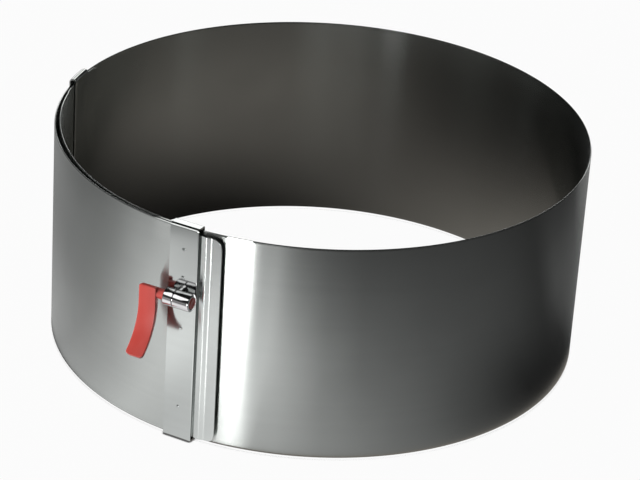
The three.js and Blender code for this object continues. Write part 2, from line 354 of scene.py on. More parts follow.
def floor_material():
    material = bpy.data.materials.new("Pale floor")
    tree = bare_tree(material)
    x, y, _ = split(place_in(tree, "Object"))
    # Reflections see the floor glow with painted light and shade, not lit by the lamps.
    mirrored = glow(painted_floor_glow(x, minus(y, ring_axis.y)))
    diffuse = add(tree, "ShaderNodeBsdfDiffuse", {"Color": grey(floor_bounce)}).outputs[0]
    bounced = mix_shaders(mirror_share(tree), diffuse, mirrored)
    # Painted contact shadow: an occlusion node darkens the white glow where the ring stands on the floor.
    contact_shadow = add(tree, "ShaderNodeAmbientOcclusion", {"Distance": contact_shadow_reach}, samples=contact_shadow_samples)
    white = glow(smooth_range(contact_shadow.outputs["AO"], *contact_shadow_range, contact_shadow_dark, 1.0))
    seen = times(camera_share(tree), floor_seen_white)
    add(tree, "ShaderNodeOutputMaterial", {"Surface": mix_shaders(seen, bounced, white)})
    return material


floor_mesh = bpy.data.meshes.new("floor")
corners = [(floor_half * x, floor_half * y, 0) for x, y in ((-1, -1), (1, -1), (1, 1), (-1, 1))]
floor_mesh.from_pydata(corners, [], [(0, 1, 2, 3)])
floor_mesh.materials.append(floor_material())
floor = place_object("floor", floor_mesh)
print("floor", 2 * floor_half, "m across")

# %% [markdown]
# ## Room and lamps
# The room is white where the camera looks past the ring. In the steel it is brighter to the left than to the
# right, dark overhead, as in a studio with an open ceiling, and bright behind the ring, where the backdrop
# stands: the rims mirror that. The room also fills the shadows, more from the left. One long soft lamp stands
# low in front and to the left. Three cards show only in what shines: one in front of the clamp makes the
# upright white streak beside the grip lip, one near the lever whitens the chrome, and one behind the ring
# whitens the top of the plate's fold.

# %% Room
ceiling_glow = 0.012
wall_rise = (0.02, 0.12)
ceiling_rise = (0.33, 0.4)
room_in_steel = [
    (-180, 1.6), (-146, 1.6), (-134, 0.3), (-90, 0.3), (-60, 0.4), (-30, 0.45), (0, 0.5),
    (25, 0.35), (60, 0.22), (130, 0.16), (155, 0.3), (168, 0.7), (176, 3.0), (180, 3.0),
]
above_in_steel = [
    (-180, 1.6), (-138, 1.6), (-124, 0.05), (-30, 0.06), (10, 0.05), (164, 0.05), (175, 1.6),
    (180, 1.6),
]
room_fill = [(-180, 0.25), (-60, 0.5), (10, 0.2), (60, 0.05), (120, 0.05), (180, 0.25)]


def room():
    world = bpy.data.worlds.new("Studio")
    tree = bare_tree(world)
    x, y, z = split(place_in(tree, "Generated"))
    walls, above, fill = (by_direction(x, y, stops) for stops in (room_in_steel, above_in_steel, room_fill))
    walls = mix_colours(smooth_range(z, *wall_rise), walls, above)
    walls = mix_colours(smooth_range(z, *ceiling_rise), walls, grey(ceiling_glow))
    lit = mix_colours(mirror_share(tree), fill, walls)
    seen = mix_colours(camera_share(tree), lit, grey(1.0))
    background = add(tree, "ShaderNodeBackground", {"Color": seen})
    add(tree, "ShaderNodeOutputWorld", {"Surface": background.outputs[0]})
    return world


scene.world = room()
print("room made")


# %% Lamps
def soft_lamp(name, place, target, size, brightness):
    """A rectangular lamp that faces a point; its power follows from its size and brightness."""
    data = bpy.data.lights.new(name, "AREA")
    data.shape = "RECTANGLE"
    data.size, data.size_y = size
    data.energy = brightness * math.pi * size[0] * size[1]
    lamp = place_object(name, data)
    lamp.location = place
    lamp.rotation_euler = (place - target).to_track_quat("Z", "Y").to_euler()
    lamp.visible_camera = False
    return lamp


def from_clamp(azimuth, elevation, distance):
    """A place seen from the clamp: azimuth 0 is straight in front of it, positive to its right."""
    side, rise = math.radians(azimuth), math.radians(elevation)
    away = Vector((math.sin(side) * math.cos(rise), -math.cos(side) * math.cos(rise), math.sin(rise)))
    return pivot + away * distance


key_from, key_size, key_brightness = (-55, 5, 1.3), (1.0, 0.3), 25.0
reflector_from, reflector_size, reflector_brightness = (-37, 46, 0.065), (0.04, 0.04), 1.8
back_from, back_size, back_brightness = (-153, 27, 0.9), (0.13, 0.12), 2.2
card_left, card_right = -30 * mm, 34.4 * mm
card_top = 96 * mm
card_out = 420 * mm
card_brightness = 30.0

key = soft_lamp("Key", from_clamp(*key_from), pivot, key_size, key_brightness)
key.visible_glossy = False
reflector = soft_lamp("Reflector", from_clamp(*reflector_from), pivot, reflector_size, reflector_brightness)
fold_top = at_clamp(0, pivot_out, plate_high.z)
back_place = fold_top + (from_clamp(*back_from) - pivot)
back_card = soft_lamp("Back card", back_place, fold_top, back_size, back_brightness)
card_place = at_clamp((card_left + card_right) / 2, card_out, card_top / 2)
card_size = (card_right - card_left, card_top)
card = soft_lamp("Card", card_place, card_place + Vector((0, 1, 0)), card_size, card_brightness)
for lamp in (reflector, back_card, card):
    lamp.visible_diffuse = False
print("lamps made")

# %% [markdown]
# ## Brushed grain and handling
# All the steel of the ring is rolled and brushed lengthwise, more on the strip and less on the plate. The
# grain is one node group: very long, very thin noise, read from a UV map in metres whose first direction runs
# along the grain. A second group makes the faint cloudy smears of a tool that has been handled. Both put out
# plain masks, so each material decides what to do with them.


# %% Node groups
line_ends_per_metre = 18.0
band_ends_per_metre = 4.0
smear_range = (0.38, 0.68)


def new_group(name, outputs, **numbers):
    """A shader group that takes a Place and some numbers, and puts out masks."""
    tree = bpy.data.node_groups.new(name, "ShaderNodeTree")
    tree.interface.new_socket("Place", in_out="INPUT", socket_type="NodeSocketVector")
    for label, value in numbers.items():
        socket = tree.interface.new_socket(spoken(label), in_out="INPUT", socket_type="NodeSocketFloat")
        socket.default_value = value
    for label in outputs:
        tree.interface.new_socket(label, in_out="OUTPUT", socket_type="NodeSocketFloat")
    return tree, tree.nodes.new("NodeGroupInput").outputs


def spoken(label):
    """The name on a socket: lines_per_metre becomes Lines Per Metre."""
    return label.replace("_", " ").title()


def noise(place, along, across, detail):
    """Noise that changes so many times per metre along the grain and across it."""
    tree = tree_of(place)
    stretch = combine(along, across)
    scaled = add(tree, "ShaderNodeVectorMath", {0: place, 1: stretch}, operation="MULTIPLY").outputs[0]
    return add(tree, "ShaderNodeTexNoise", {"Vector": scaled, "Scale": 1, "Detail": detail}).outputs[0]


def brushed_grain():
    tree, given = new_group("Brushed grain", ["Lines", "Bands"], lines_per_metre=4000.0, bands_per_metre=250.0)
    place = given["Place"]
    add(tree, "NodeGroupOutput", {
        "Lines": noise(place, line_ends_per_metre, given["Lines Per Metre"], 2),
        "Bands": noise(place, band_ends_per_metre, given["Bands Per Metre"], 3)})
    return tree


def handling():
    tree, given = new_group("Handling", ["Smears"], smears_per_metre=30.0)
    often = given["Smears Per Metre"]
    clouds = noise(given["Place"], often, often, 4)
    add(tree, "NodeGroupOutput", {"Smears": smooth_range(clouds, *smear_range)})
    return tree


grain_group = brushed_grain()
handling_group = handling()
print("groups:", grain_group.name, handling_group.name)

# %% [markdown]
# ## Steel
# A brushed sheet is thousands of fine grooves side by side. Each groove is smooth along its length and
# scatters light across it, so a highlight spreads at right angles to the grain. The Principled shader's
# anisotropy does that without modelling a groove, if it is told which way the grain runs: the Tangent node
# reads it from the UV map. Strip, plate and lip differ only in a few numbers. The strip's two rims are
# polished, so they are smoother than its faces: a mask of the height finds them.


# %% Steel finishes
rim_reach = 1.0 * mm
rim_full = 0.6 * mm
bands_share, lines_share = 0.6, 0.4
quarter_turn = 0.25


def add_group(group, place, **values):
    inputs = {spoken(label): value for label, value in values.items()}
    return add(tree_of(place), "ShaderNodeGroup", {"Place": place, **inputs}, node_tree=group).outputs


def new_finish(name):
    material = bpy.data.materials.new(name)
    tree = bare_tree(material)
    shader = add(tree, "ShaderNodeBsdfPrincipled")
    add(tree, "ShaderNodeOutputMaterial", {"Surface": shader.outputs[0]})
    return material, tree, shader


def brushed_steel(name, dark, light, roughness, grain_spread, stretch, lines, bands, rim_polish=0.0):
    """Sheet steel with lengthwise grain, read from the piece's UV map in metres."""
    material, tree, shader = new_finish(name)
    place = add(tree, "ShaderNodeUVMap", uv_map="UVMap").outputs[0]
    grain = add_group(grain_group, place, lines_per_metre=lines, bands_per_metre=bands)
    smears = add_group(handling_group, place)["Smears"]
    shade = scaled_sum(0.0, (grain["Bands"], bands_share), (grain["Lines"], lines_share))
    height = split(place_in(tree, "Object"))["Z"]
    off_middle = calc("ABSOLUTE", minus(height, (band_bottom + band_top) / 2))
    on_rim = smooth_range(off_middle, band_height / 2 - rim_reach, band_height / 2 - rim_full)
    feed_all(shader, {
        "Base Color": mix_colours(shade, (*dark, 1), (*light, 1)),
        "Metallic": 1,
        "Roughness": scaled_sum(roughness, (grain["Bands"], grain_spread), (smears, grain_spread),
                                (on_rim, -rim_polish)),
        "Anisotropic": stretch,
        "Anisotropic Rotation": quarter_turn,
        "Tangent": add(tree, "ShaderNodeTangent", direction_type="UV_MAP", uv_map="UVMap").outputs[0],
    })
    return material


strip_steel = brushed_steel("Strip steel", (0.46, 0.477, 0.465), (0.53, 0.55, 0.535),
                            0.22, 0.02, 1.0, 4500.0, 260.0, rim_polish=0.2)
plate_steel = brushed_steel("Plate steel", (0.45, 0.468, 0.458), (0.505, 0.525, 0.515),
                            0.08, 0.02, 0.7, 5000.0, 300.0)
lip_steel = brushed_steel("Lip steel", (0.5, 0.52, 0.51), (0.56, 0.58, 0.57), 0.14, 0.02, 1.0, 5000.0, 300.0)
print("steel:", strip_steel.name, plate_steel.name, lip_steel.name)

# %% [markdown]
# ## Chrome, turned steel and red plastic
# The bearing block is chromed, so its only variation is a trace of handling. The axle and the pin are plain
# turned rod. The lever and the plug are one red plastic with a satin skin, moulded, not painted: its colour
# is even, its gloss a little cloudy and its skin very slightly uneven.


# %% Chrome, turned steel, red plastic
metal_smears = 160.0
plastic_smears = 120.0
skin_per_metre = 1800


def handled(shader, place, often, clean, worn, roughness, spread):
    """Colour and roughness that change a little with the smears."""
    smears = add_group(handling_group, place, smears_per_metre=often)["Smears"]
    feed_all(shader, {
        "Base Color": mix_colours(smears, (*clean, 1), (*worn, 1)),
        "Roughness": scaled_sum(roughness, (smears, spread))})


def polished(name, colour, tarnish, roughness, spread):
    material, tree, shader = new_finish(name)
    handled(shader, place_in(tree, "Object"), metal_smears, colour, tarnish, roughness, spread)
    feed(shader.inputs["Metallic"], 1)
    return material


def moulded_plastic(name, colour, worn, roughness, spread, skin):
    material, tree, shader = new_finish(name)
    place = place_in(tree, "Object")
    handled(shader, place, plastic_smears, colour, worn, roughness, spread)
    fine = add(tree, "ShaderNodeTexNoise", {"Vector": place, "Scale": skin_per_metre}).outputs[0]
    uneven = add(tree, "ShaderNodeBump", {"Strength": 1, "Distance": skin, "Height": fine})
    feed(shader.inputs["Normal"], uneven.outputs[0])
    return material


chrome = polished("Chrome", (0.62, 0.605, 0.615), (0.55, 0.54, 0.55), 0.04, 0.05)
turned_steel = polished("Turned steel", (0.56, 0.56, 0.57), (0.46, 0.46, 0.47), 0.26, 0.1)
red_plastic = moulded_plastic("Red plastic", (0.56, 0.06, 0.045), (0.6, 0.075, 0.06), 0.36, 0.08, 0.01 * mm)
for node in ("cam_axle", "pressure_pin"):
    rod_materials = frame["nodes"][node].data.materials
    rod_materials.clear()
    rod_materials.append(turned_steel)
print("finishes:", chrome.name, turned_steel.name, red_plastic.name)

# %% [markdown]
# ## From points to a finished piece
# Sheet parts start as a bare surface. Solidify gives them their thickness, Bevel rounds the cut edges so that
# they catch the light, and Weighted Normal keeps the broad faces flat in the shading. The result is then made
# a plain mesh, because the exported model has no modifiers.


# %% Helpers for meshes
def new_piece(name, points, faces, finish, flat=None):
    """A mesh object; flat gives each point's place on the unrolled sheet, for the UV map."""
    mesh = bpy.data.meshes.new(name)
    mesh.from_pydata(points, [], faces)
    if flat:
        layer = mesh.uv_layers.new(name="UVMap")
        for loop in mesh.loops:
            layer.data[loop.index].uv = flat[loop.vertex_index]
    mesh.materials.append(finish)
    return place_object(name, mesh)


def settle(piece):
    """Makes the result of the piece's modifiers its plain mesh."""
    depsgraph = bpy.context.evaluated_depsgraph_get()
    done = piece.evaluated_get(depsgraph)
    mesh = bpy.data.meshes.new_from_object(done, preserve_all_data_layers=True, depsgraph=depsgraph)
    piece.modifiers.clear()
    piece.data = mesh
    mesh.name = piece.name


def soften(piece, edge, corner=math.radians(50), segments=3):
    """Rounds the sharp edges and shades the rest smooth."""
    rounding = piece.modifiers.new("Rounded edges", "BEVEL")
    rounding.width = edge
    rounding.segments = segments
    rounding.limit_method = "ANGLE"
    rounding.angle_limit = corner
    settle(piece)
    piece.data.shade_smooth()
    weigh = piece.modifiers.new("Flat faces", "WEIGHTED_NORMAL")
    weigh.keep_sharp = True
    weigh.weight = 80
    settle(piece)


def report(piece):
    piece.data.calc_loop_triangles()
    print(piece.name, len(piece.data.loop_triangles), "triangles")


def smooth_below(piece, degrees):
    """Shades the piece smooth, except over edges that turn by more than this."""
    piece.data.shade_smooth()
    piece.data.set_sharp_from_angle(angle=math.radians(degrees))
    report(piece)


print("mesh helpers ready")

# %% [markdown]
# ## The strip
# The strip is the ring itself: 100 mm tall, 0.6 mm thick and nearly a turn and a quarter long. Its outer run
# is round; then it spirals in by its own thickness and a small gap, and the inner run lies behind the outer
# one. That is a rule, so Geometry Nodes make it: a line of points is laid along the rule, and an upright
# profile is swept along it, a circle stretched until its sides are straight and its rims are half ellipses.
# The gap between the runs narrows only close to the clip, which leaves room for the clamp's pin wherever the
# clamp slides. The same tree makes two pieces, because the outer run has to bend when the clamp slides, and
# the inner run stays with the clip.

# %% The strip's rule
band_sheet = 0.6 * mm
rim_high = 0.6 * mm
rim_points = 32
ring_radius = 120.5 * mm
clamp_gap = 1.0 * mm
guide_gap = 0.6 * mm
dip_depth = 0.9 * mm
dip_skew = 1.5
wide_until = 0.965
outer_end_reach = 3.0 * mm
overlap_angle = 88.8
close_angle = 345.0
guide_angle = 80.3
guide_width = 14.0 * mm
end_corner = 4.0 * mm
outer_end_angle = -math.degrees(outer_end_reach / ring_radius)
inner_end_angle = 360 + overlap_angle
clip_edge = guide_angle - math.degrees(guide_width / ring_radius)
parting_angle = 180.0
strip_step = 0.75
strip_crease = 12
per_degree = math.radians(1) * ring_radius


def strip_radius(angle):
    """Radius of the strip's middle at an angle, as nodes."""
    along = over(minus(angle, 360.0), clip_edge)
    along = calc("MINIMUM", calc("MAXIMUM", along, 0.0), 1.0)
    wave = calc("SINE", times(calc("POWER", along, dip_skew), math.pi))
    dip = times(calc("POWER", wave, 2.0), dip_depth)
    narrow = smooth_range(along, wide_until, 1.0)
    gap = scaled_sum(clamp_gap, (narrow, guide_gap - clamp_gap), (dip, 1.0))
    closed = smooth_range(angle, overlap_angle, close_angle)
    step_in = times(plus(gap, band_sheet), closed)
    return minus(ring_radius - band_sheet / 2, step_in)


print("strip runs from", round(outer_end_angle, 2), "to", inner_end_angle, "degrees")


# %% The strip's tree
def new_tree(name, *inputs):
    """A Geometry Nodes tree with named inputs, given as (name, kind), and one output."""
    tree = bpy.data.node_groups.new(name, "GeometryNodeTree")
    tree.interface.new_socket("Geometry", in_out="OUTPUT", socket_type="NodeSocketGeometry")
    for label, kind in inputs:
        tree.interface.new_socket(label, in_out="INPUT", socket_type="NodeSocket" + kind)
    return tree, tree.nodes.new("NodeGroupInput").outputs


def point_place(tree):
    """The three parts of each point's place."""
    return split(add(tree, "GeometryNodeInputPosition").outputs[0])


def moved(geometry, x, y, z):
    """The geometry with each point at a new place."""
    inputs = {"Geometry": geometry, "Position": combine(x, y, z)}
    return add(tree_of(geometry), "GeometryNodeSetPosition", inputs).outputs[0]


def end_tree(geometry, finish):
    """Makes the result real geometry and gives it its material."""
    tree = tree_of(geometry)
    real = add(tree, "GeometryNodeRealizeInstances", {0: geometry}).outputs[0]
    done = add(tree, "GeometryNodeSetMaterial", {"Geometry": real, "Material": finish}).outputs[0]
    add(tree, "NodeGroupOutput", {0: done})


def upright_profile(tree):
    """A circle stretched to the strip's section."""
    circle = add(tree, "GeometryNodeCurvePrimitiveCircle", {"Resolution": rim_points, "Radius": 1.0}).outputs[0]
    x, y, _ = point_place(tree)
    tall = scaled_sum(0.0, (calc("SIGN", y), band_height / 2 - rim_high), (y, rim_high))
    return moved(circle, times(x, band_sheet / 2), tall, 0.0)


def corner_cut(angle):
    """How far the rounded corners at the inner end have pulled the edges in."""
    to_end = times(minus(inner_end_angle, angle), per_degree)
    left_over = calc("MAXIMUM", minus(end_corner, to_end), 0.0)
    squares = minus(end_corner ** 2, calc("POWER", left_over, 2.0))
    return minus(end_corner, calc("SQRT", calc("MAXIMUM", squares, 0.0)))


def rolled_strip():
    tree, given = new_tree("Rolled strip", ("From Angle", "Float"), ("To Angle", "Float"), ("Points", "Int"),
                           ("Finish", "Material"))
    line = add(tree, "GeometryNodeCurvePrimitiveLine").outputs[0]
    dense = add(tree, "GeometryNodeResampleCurve", {"Curve": line, "Count": given["Points"]}).outputs[0]
    share = add(tree, "GeometryNodeSplineParameter").outputs["Factor"]
    span = minus(given["To Angle"], given["From Angle"])
    angle = plus(times(span, share), given["From Angle"])
    keep = add(tree, "GeometryNodeCaptureAttribute", {"Geometry": dense})
    keep.capture_items.new("FLOAT", "Angle")
    feed(keep.inputs["Angle"], angle)
    kept_angle = keep.outputs["Angle"]

    radius = strip_radius(angle)
    turn = calc("RADIANS", angle)
    x = times(times(radius, calc("SINE", turn)), -1.0)
    y = minus(ring_axis.y, times(radius, calc("COSINE", turn)))
    middle = band_bottom + band_height / 2
    rolled = moved(keep.outputs["Geometry"], x, y, middle)
    facing = add(tree, "GeometryNodeSetCurveNormal", {"Curve": rolled}, mode="Z_UP").outputs[0]
    swept = add(tree, "GeometryNodeCurveToMesh", {
        "Curve": facing, "Profile Curve": upright_profile(tree), "Fill Caps": True}).outputs[0]

    x, y, z = point_place(tree)
    shrink = minus(1.0, over(corner_cut(kept_angle), band_height / 2))
    height = plus(times(minus(z, middle), shrink), middle)
    flat = add(tree, "GeometryNodeStoreNamedAttribute", {
        "Geometry": moved(swept, x, y, height), "Name": "UVMap",
        "Value": combine(times(kept_angle, per_degree), z),
    }, data_type="FLOAT2", domain="CORNER").outputs[0]
    end_tree(flat, given["Finish"])
    return tree


strip_tree = rolled_strip()
print("tree", strip_tree.name, len(strip_tree.nodes), "nodes")


# %% The two runs
def grow(piece, tree, values):
    """Runs a tree on a piece, each value set by its input's identifier, and keeps the result."""
    nodes = piece.modifiers.new(tree.name, "NODES")
    nodes.node_group = tree
    identifiers = {item.name: item.identifier for item in tree.interface.items_tree if item.in_out == "INPUT"}
    for label, value in values.items():
        nodes[identifiers[label]] = value
    settle(piece)


def strip_run(name, first, last):
    piece = place_object(name, bpy.data.meshes.new(name))
    points = round((last - first) / strip_step) + 1
    grow(piece, strip_tree, {"From Angle": first, "To Angle": last, "Points": points, "Finish": strip_steel})
    smooth_below(piece, strip_crease)
    return piece


outer_run = strip_run("strip_outer_run", outer_end_angle, parting_angle)
inner_run = strip_run("strip_inner_run", parting_angle, inner_end_angle)
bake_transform(outer_run)
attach(inner_run, "ring")
for run in (outer_run, inner_run):
    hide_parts("ring_band")

# %% [markdown]
# ## Folded sheet parts
# The clamp plate and the guide clip are channels: a wall folded over the top and the bottom edge of the
# strip. A fold is never sharp, so each corner of the line is replaced by a small curve before the line is
# swept. The plate's right-hand edge has rolled in a little where it was sheared, and the clip's near edge is
# pressed on.


# %% A line with rounded bends
fold_steps = 8


def bend_line(corners, bend, steps):
    """Points of a line whose inner corners are rounded, starting a set distance before each corner."""
    points = [Vector(corner) for corner in corners]
    line = [points[0]]
    for before, corner, after in zip(points, points[1:], points[2:]):
        start = corner + (before - corner).normalized() * bend
        end = corner + (after - corner).normalized() * bend
        for i in range(steps + 1):
            share = i / steps
            line.append((1 - share) ** 2 * start + 2 * share * (1 - share) * corner + share ** 2 * end)
    return line + [points[-1]]


def swept_sheet(name, line, stations, place, sheet, edge, finish, flat_place):
    """Sweeps a line through the stations, and makes it a sheet with rounded edges."""
    lengths = [0.0]
    for before, after in zip(line, line[1:]):
        lengths.append(lengths[-1] + (after - before).length)
    points, flat = [], []
    for station in stations:
        for point, length in zip(line, lengths):
            points.append(place(point, station))
            flat.append(flat_place(length, station, points[-1]))
    across = len(line)
    faces = [(row * across + i, row * across + i + 1, (row + 1) * across + i + 1, (row + 1) * across + i)
             for row in range(len(stations) - 1) for i in range(across - 1)]
    piece = new_piece(name, points, faces, finish, flat)
    thick = piece.modifiers.new("Sheet", "SOLIDIFY")
    thick.thickness = sheet
    thick.offset = 0
    thick.use_even_offset = True
    soften(piece, edge)
    report(piece)
    return piece


def channel_line(wall, lip, lip_depth, sheet, top, bend):
    """Cross-section of a channel as (out, z): lower lip, wall, upper lip."""
    low, high = sheet / 2, top - sheet / 2
    corners = [(lip, lip_depth), (lip, low), (wall, low), (wall, high), (lip, high), (lip, top - lip_depth)]
    return bend_line(corners, bend, fold_steps)


print("sheet helpers ready")

# %% Clamp plate
plate_sheet = 0.8 * mm
plate_lip = 6.0 * mm
fold_bend = 0.9 * mm
cut_edge = 0.15 * mm
edge_run = 0.5 * mm
edge_drop = 0.11 * mm
edge_steps = 5
plate_wall = ring_axis.y - plate_low.y - plate_sheet / 2
plate_lip_out = ring_axis.y - plate_high.y + plate_sheet / 2


def rolled_over(x):
    """How far the sheared right-hand edge has rolled in."""
    return edge_drop * max(1 - (plate_high.x - x) / edge_run, 0) ** 2


clamp_plate = swept_sheet(
    "clamp_plate_folded",
    channel_line(plate_wall, plate_lip_out, plate_lip, plate_sheet, plate_high.z, fold_bend),
    [plate_low.x] + [plate_high.x - edge_run * (1 - i / edge_steps) for i in range(edge_steps + 1)],
    lambda point, x: at_clamp(x, point.x - rolled_over(x), point.y),
    plate_sheet, cut_edge, plate_steel, lambda length, x, point: (x, length))
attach(clamp_plate, "clamp")
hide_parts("clamp_plate")

# %% Guide clip
guide_sheet = 0.6 * mm
guide_lip = 4.6 * mm
guide_bend = 1.48 * mm
guide_clearance = 0.3 * mm
guide_edge = 0.25 * mm
guide_press = 0.22 * mm
press_run = 2.6 * mm
guide_steps = 32
guide_wall = ring_radius - 2 * band_sheet - guide_gap - guide_clearance - guide_sheet / 2
guide_lip_out = ring_radius + guide_clearance + guide_sheet / 2
half_guide = math.degrees(guide_width / ring_radius) / 2


def pressed_on(out, angle):
    """The wall's upright edge nearer the clamp is pressed closer to the strip."""
    from_edge = math.radians(half_guide + angle - guide_angle) * ring_radius
    on_wall = min(max((ring_radius - band_sheet - out) / (ring_radius - band_sheet - guide_wall), 0), 1)
    return out + guide_press * on_wall * max(1 - from_edge / press_run, 0) ** 2


guide_clip = swept_sheet(
    "guide_clip_folded",
    channel_line(guide_wall, guide_lip_out, guide_lip, guide_sheet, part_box("guide_clip")[1].z, guide_bend),
    [guide_angle + half_guide * (2 * i / guide_steps - 1) for i in range(guide_steps + 1)],
    lambda point, angle: on_ring(angle, pressed_on(point.x, angle), point.y),
    guide_sheet, guide_edge, strip_steel,
    lambda length, angle, point: (math.radians(angle) * ring_radius, length))
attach(guide_clip, "ring")
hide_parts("guide_clip")

# %% [markdown]
# ## Grip lip
# Right of the plate a bent sheet stands off the strip, so that a thumb can pull the ring open. Its plan is a
# line of short straight runs: foot, flank, ridge, facet and flat flange. Each bend turns through the
# direction of the bright card, so each shows a white line. Near its free edge the sheet gets shorter, which
# rounds its two corners.

# %% Grip lip
grip_sheet = 0.6 * mm
grip_edge_inset = 1.5 * mm
grip_plate_gap = 0.5 * mm
grip_flank = Vector((2.9 * mm, 0.8 * mm))
grip_facet = Vector((2.4 * mm, -1.0 * mm))
grip_flange = Vector((4.95 * mm, 0.0))
grip_bend = 0.7 * mm
grip_top_round = 5.0 * mm
grip_bottom_round = 4.0 * mm
grip_rows = 24
grip_bend_steps = 6
corner_steps = 10
column_gap = 0.4 * mm
bend_room = 1.2 * grip_bend
grip_heel = Vector((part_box("grip_lip")[0].x, ring_radius - band_sheet + grip_sheet / 2))
grip_rise = Vector((plate_high.x + grip_plate_gap, grip_heel.y))
grip_crest = grip_rise + grip_flank
grip_brow = grip_crest + grip_facet
grip_tip = grip_brow + grip_flange


def corner_rise(to_tip, radius):
    """How far a rounded corner has pulled the edge in, at a distance from the tip."""
    return radius * (1 - math.sqrt(min(to_tip / radius, 1))) ** 2


def grip_place(point, share):
    to_tip = max(grip_tip.x - point.x, 0)
    low = band_bottom + grip_edge_inset + corner_rise(to_tip, grip_bottom_round)
    high = band_top - grip_edge_inset - corner_rise(to_tip, grip_top_round)
    return at_clamp(point.x, point.y, low + (high - low) * share)


def corner_columns():
    """Points of the line from the last bend to the tip, closer together near the tip."""
    from_tip = [grip_top_round * (1 - i / corner_steps) ** 2 for i in range(corner_steps)]
    kept = [reach for reach in from_tip if column_gap < reach < grip_flange.x - bend_room]
    return [grip_tip - Vector((reach, 0)) for reach in kept] + [grip_tip]


grip_corners = [grip_heel, grip_rise, grip_crest, grip_brow, grip_tip]
grip_line = bend_line(grip_corners, grip_bend, grip_bend_steps)[:-1] + corner_columns()
grip_lip = swept_sheet(
    "grip_lip_bent", grip_line, [i / grip_rows for i in range(grip_rows + 1)], grip_place,
    grip_sheet, cut_edge, lip_steel, lambda length, share, point: (point.x, point.z))
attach(grip_lip, "clamp")
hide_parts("grip_lip")

# %% [markdown]
# ## Bearing block
# A short chromed barrel across the plate, on a neck. It is turned, so its profile is spun about the pivot.
# Every corner of the profile is a small arc, because chrome shows a line of light on each edge. The neck is
# joined on with a Boolean and the bore for the axle is cut the same way.


# %% Turned parts
across = Vector((1, 0, 0))
upwards = Vector((0, 0, 1))
outwards = Vector((0, -1, 0))
overcut = 1.0 * mm


def turned_piece(name, profile, centre, axis, finish, steps=64):
    """Spins (radius, place along the axis) pairs about an axis; the first and last radius are 0."""
    other = axis.cross(upwards)
    turns = [2 * math.pi * i / steps for i in range(steps)]
    points = [centre + axis * along + (upwards * math.cos(turn) + other * math.sin(turn)) * radius
              for radius, along in profile[1:-1] for turn in turns]
    last = len(points) - steps
    faces = [(low + i, low + (i + 1) % steps, low + steps + (i + 1) % steps, low + steps + i)
             for low in range(0, last, steps) for i in range(steps)]
    faces += [tuple(range(steps))[::-1], tuple(range(last, last + steps))]
    return new_piece(name, points, faces, finish)


def rod(name, radius, start, end, centre, axis, finish):
    """A plain cylinder, to be joined on or cut away."""
    return turned_piece(name, [(0, start), (radius, start), (radius, end), (0, end)], centre, axis, finish)


def rounded_corner(radius, along, round_off, inwards, steps=4):
    """Points of a convex corner of a profile; inwards is +1 at the profile's start and -1 at its end."""
    points = []
    for i in range(steps + 1):
        turn = math.pi / 2 * i / steps
        points.append((radius - round_off * (1 - math.sin(turn)),
                       along + inwards * round_off * (1 - math.cos(turn))))
    return points if inwards > 0 else points[::-1]


def with_boolean(piece, other, operation):
    step = piece.modifiers.new(operation.title(), "BOOLEAN")
    step.operation = operation
    step.solver = "EXACT"
    step.object = other
    settle(piece)
    bpy.data.objects.remove(other)


print("turning helpers ready")

# %% Bearing block
barrel_radius = 3.9 * mm
barrel_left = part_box("bearing_block")[0].x
barrel_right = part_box("bearing_block")[1].x
barrel_round = 0.35 * mm
groove_place = -0.2 * mm
groove_half = 0.35 * mm
groove_depth = 0.6 * mm
neck_radius = 3.2 * mm
bore_radius = 2.75 * mm
block_seat = 0.2 * mm
block_crease = 28
plate_face_out = ring_axis.y - plate_low.y
barrel_profile = [
    (0, barrel_left),
    *rounded_corner(barrel_radius, barrel_left, barrel_round, 1),
    (barrel_radius, groove_place - groove_half),
    (barrel_radius - groove_depth, groove_place - groove_half / 2),
    (barrel_radius - groove_depth, groove_place + groove_half / 2),
    (barrel_radius, groove_place + groove_half),
    *rounded_corner(barrel_radius, barrel_right, barrel_round, -1),
    (0, barrel_right),
]
bearing_block = turned_piece("bearing_block_turned", barrel_profile, pivot, across, chrome)
neck = rod("neck", neck_radius, plate_face_out + block_seat, pivot_out, at_clamp(0, 0, pivot.z), outwards, chrome)
with_boolean(bearing_block, neck, "UNION")
bore = rod("bore", bore_radius, barrel_left - overcut, barrel_right + overcut, pivot, across, chrome)
with_boolean(bearing_block, bore, "DIFFERENCE")
smooth_below(bearing_block, block_crease)
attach(bearing_block, "clamp")
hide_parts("bearing_block")

# %% [markdown]
# ## Lever handle
# The lever is one plastic moulding: a blade that hangs beside the barrel and curls outwards at its free end,
# with a round hub on the pivot. It is easiest to make the blade as a flat blank, round its corners and edges
# while it is flat, and only then bend it. The bend is a rule for each point: straight at first, then along an
# arc. The same rule narrows the back a little, so that the part leaves its mould, and rounds the heel above
# the pivot.

# %% Flat blank
lever_width = 8.6 * mm
lever_tip_width = 8.8 * mm
lever_above = 3.0 * mm
lever_straight = 8.5 * mm
lever_drop = 28.5 * mm
lever_curl = 25.5 * mm
lever_thickness = 3.3 * mm
lever_tip_thickness = 2.0 * mm
lever_front = 2.5 * mm
lever_corner = 1.6 * mm
lever_edge = 0.55 * mm
lever_draft = 0.16
lever_heel = 2.2 * mm
lever_heel_cut = 0.5
hub_gap = 0.3 * mm
hub_standout = 3.3 * mm
hub_right = barrel_left - hub_gap
lever_right = hub_right - hub_standout
lever_middle = lever_right - lever_width / 2
curl_angle = math.asin((lever_drop - lever_straight) / lever_curl)
blade_length = lever_straight + lever_curl * curl_angle
bend_cuts = 28
heel_cuts = 6
sharp_rim = 60


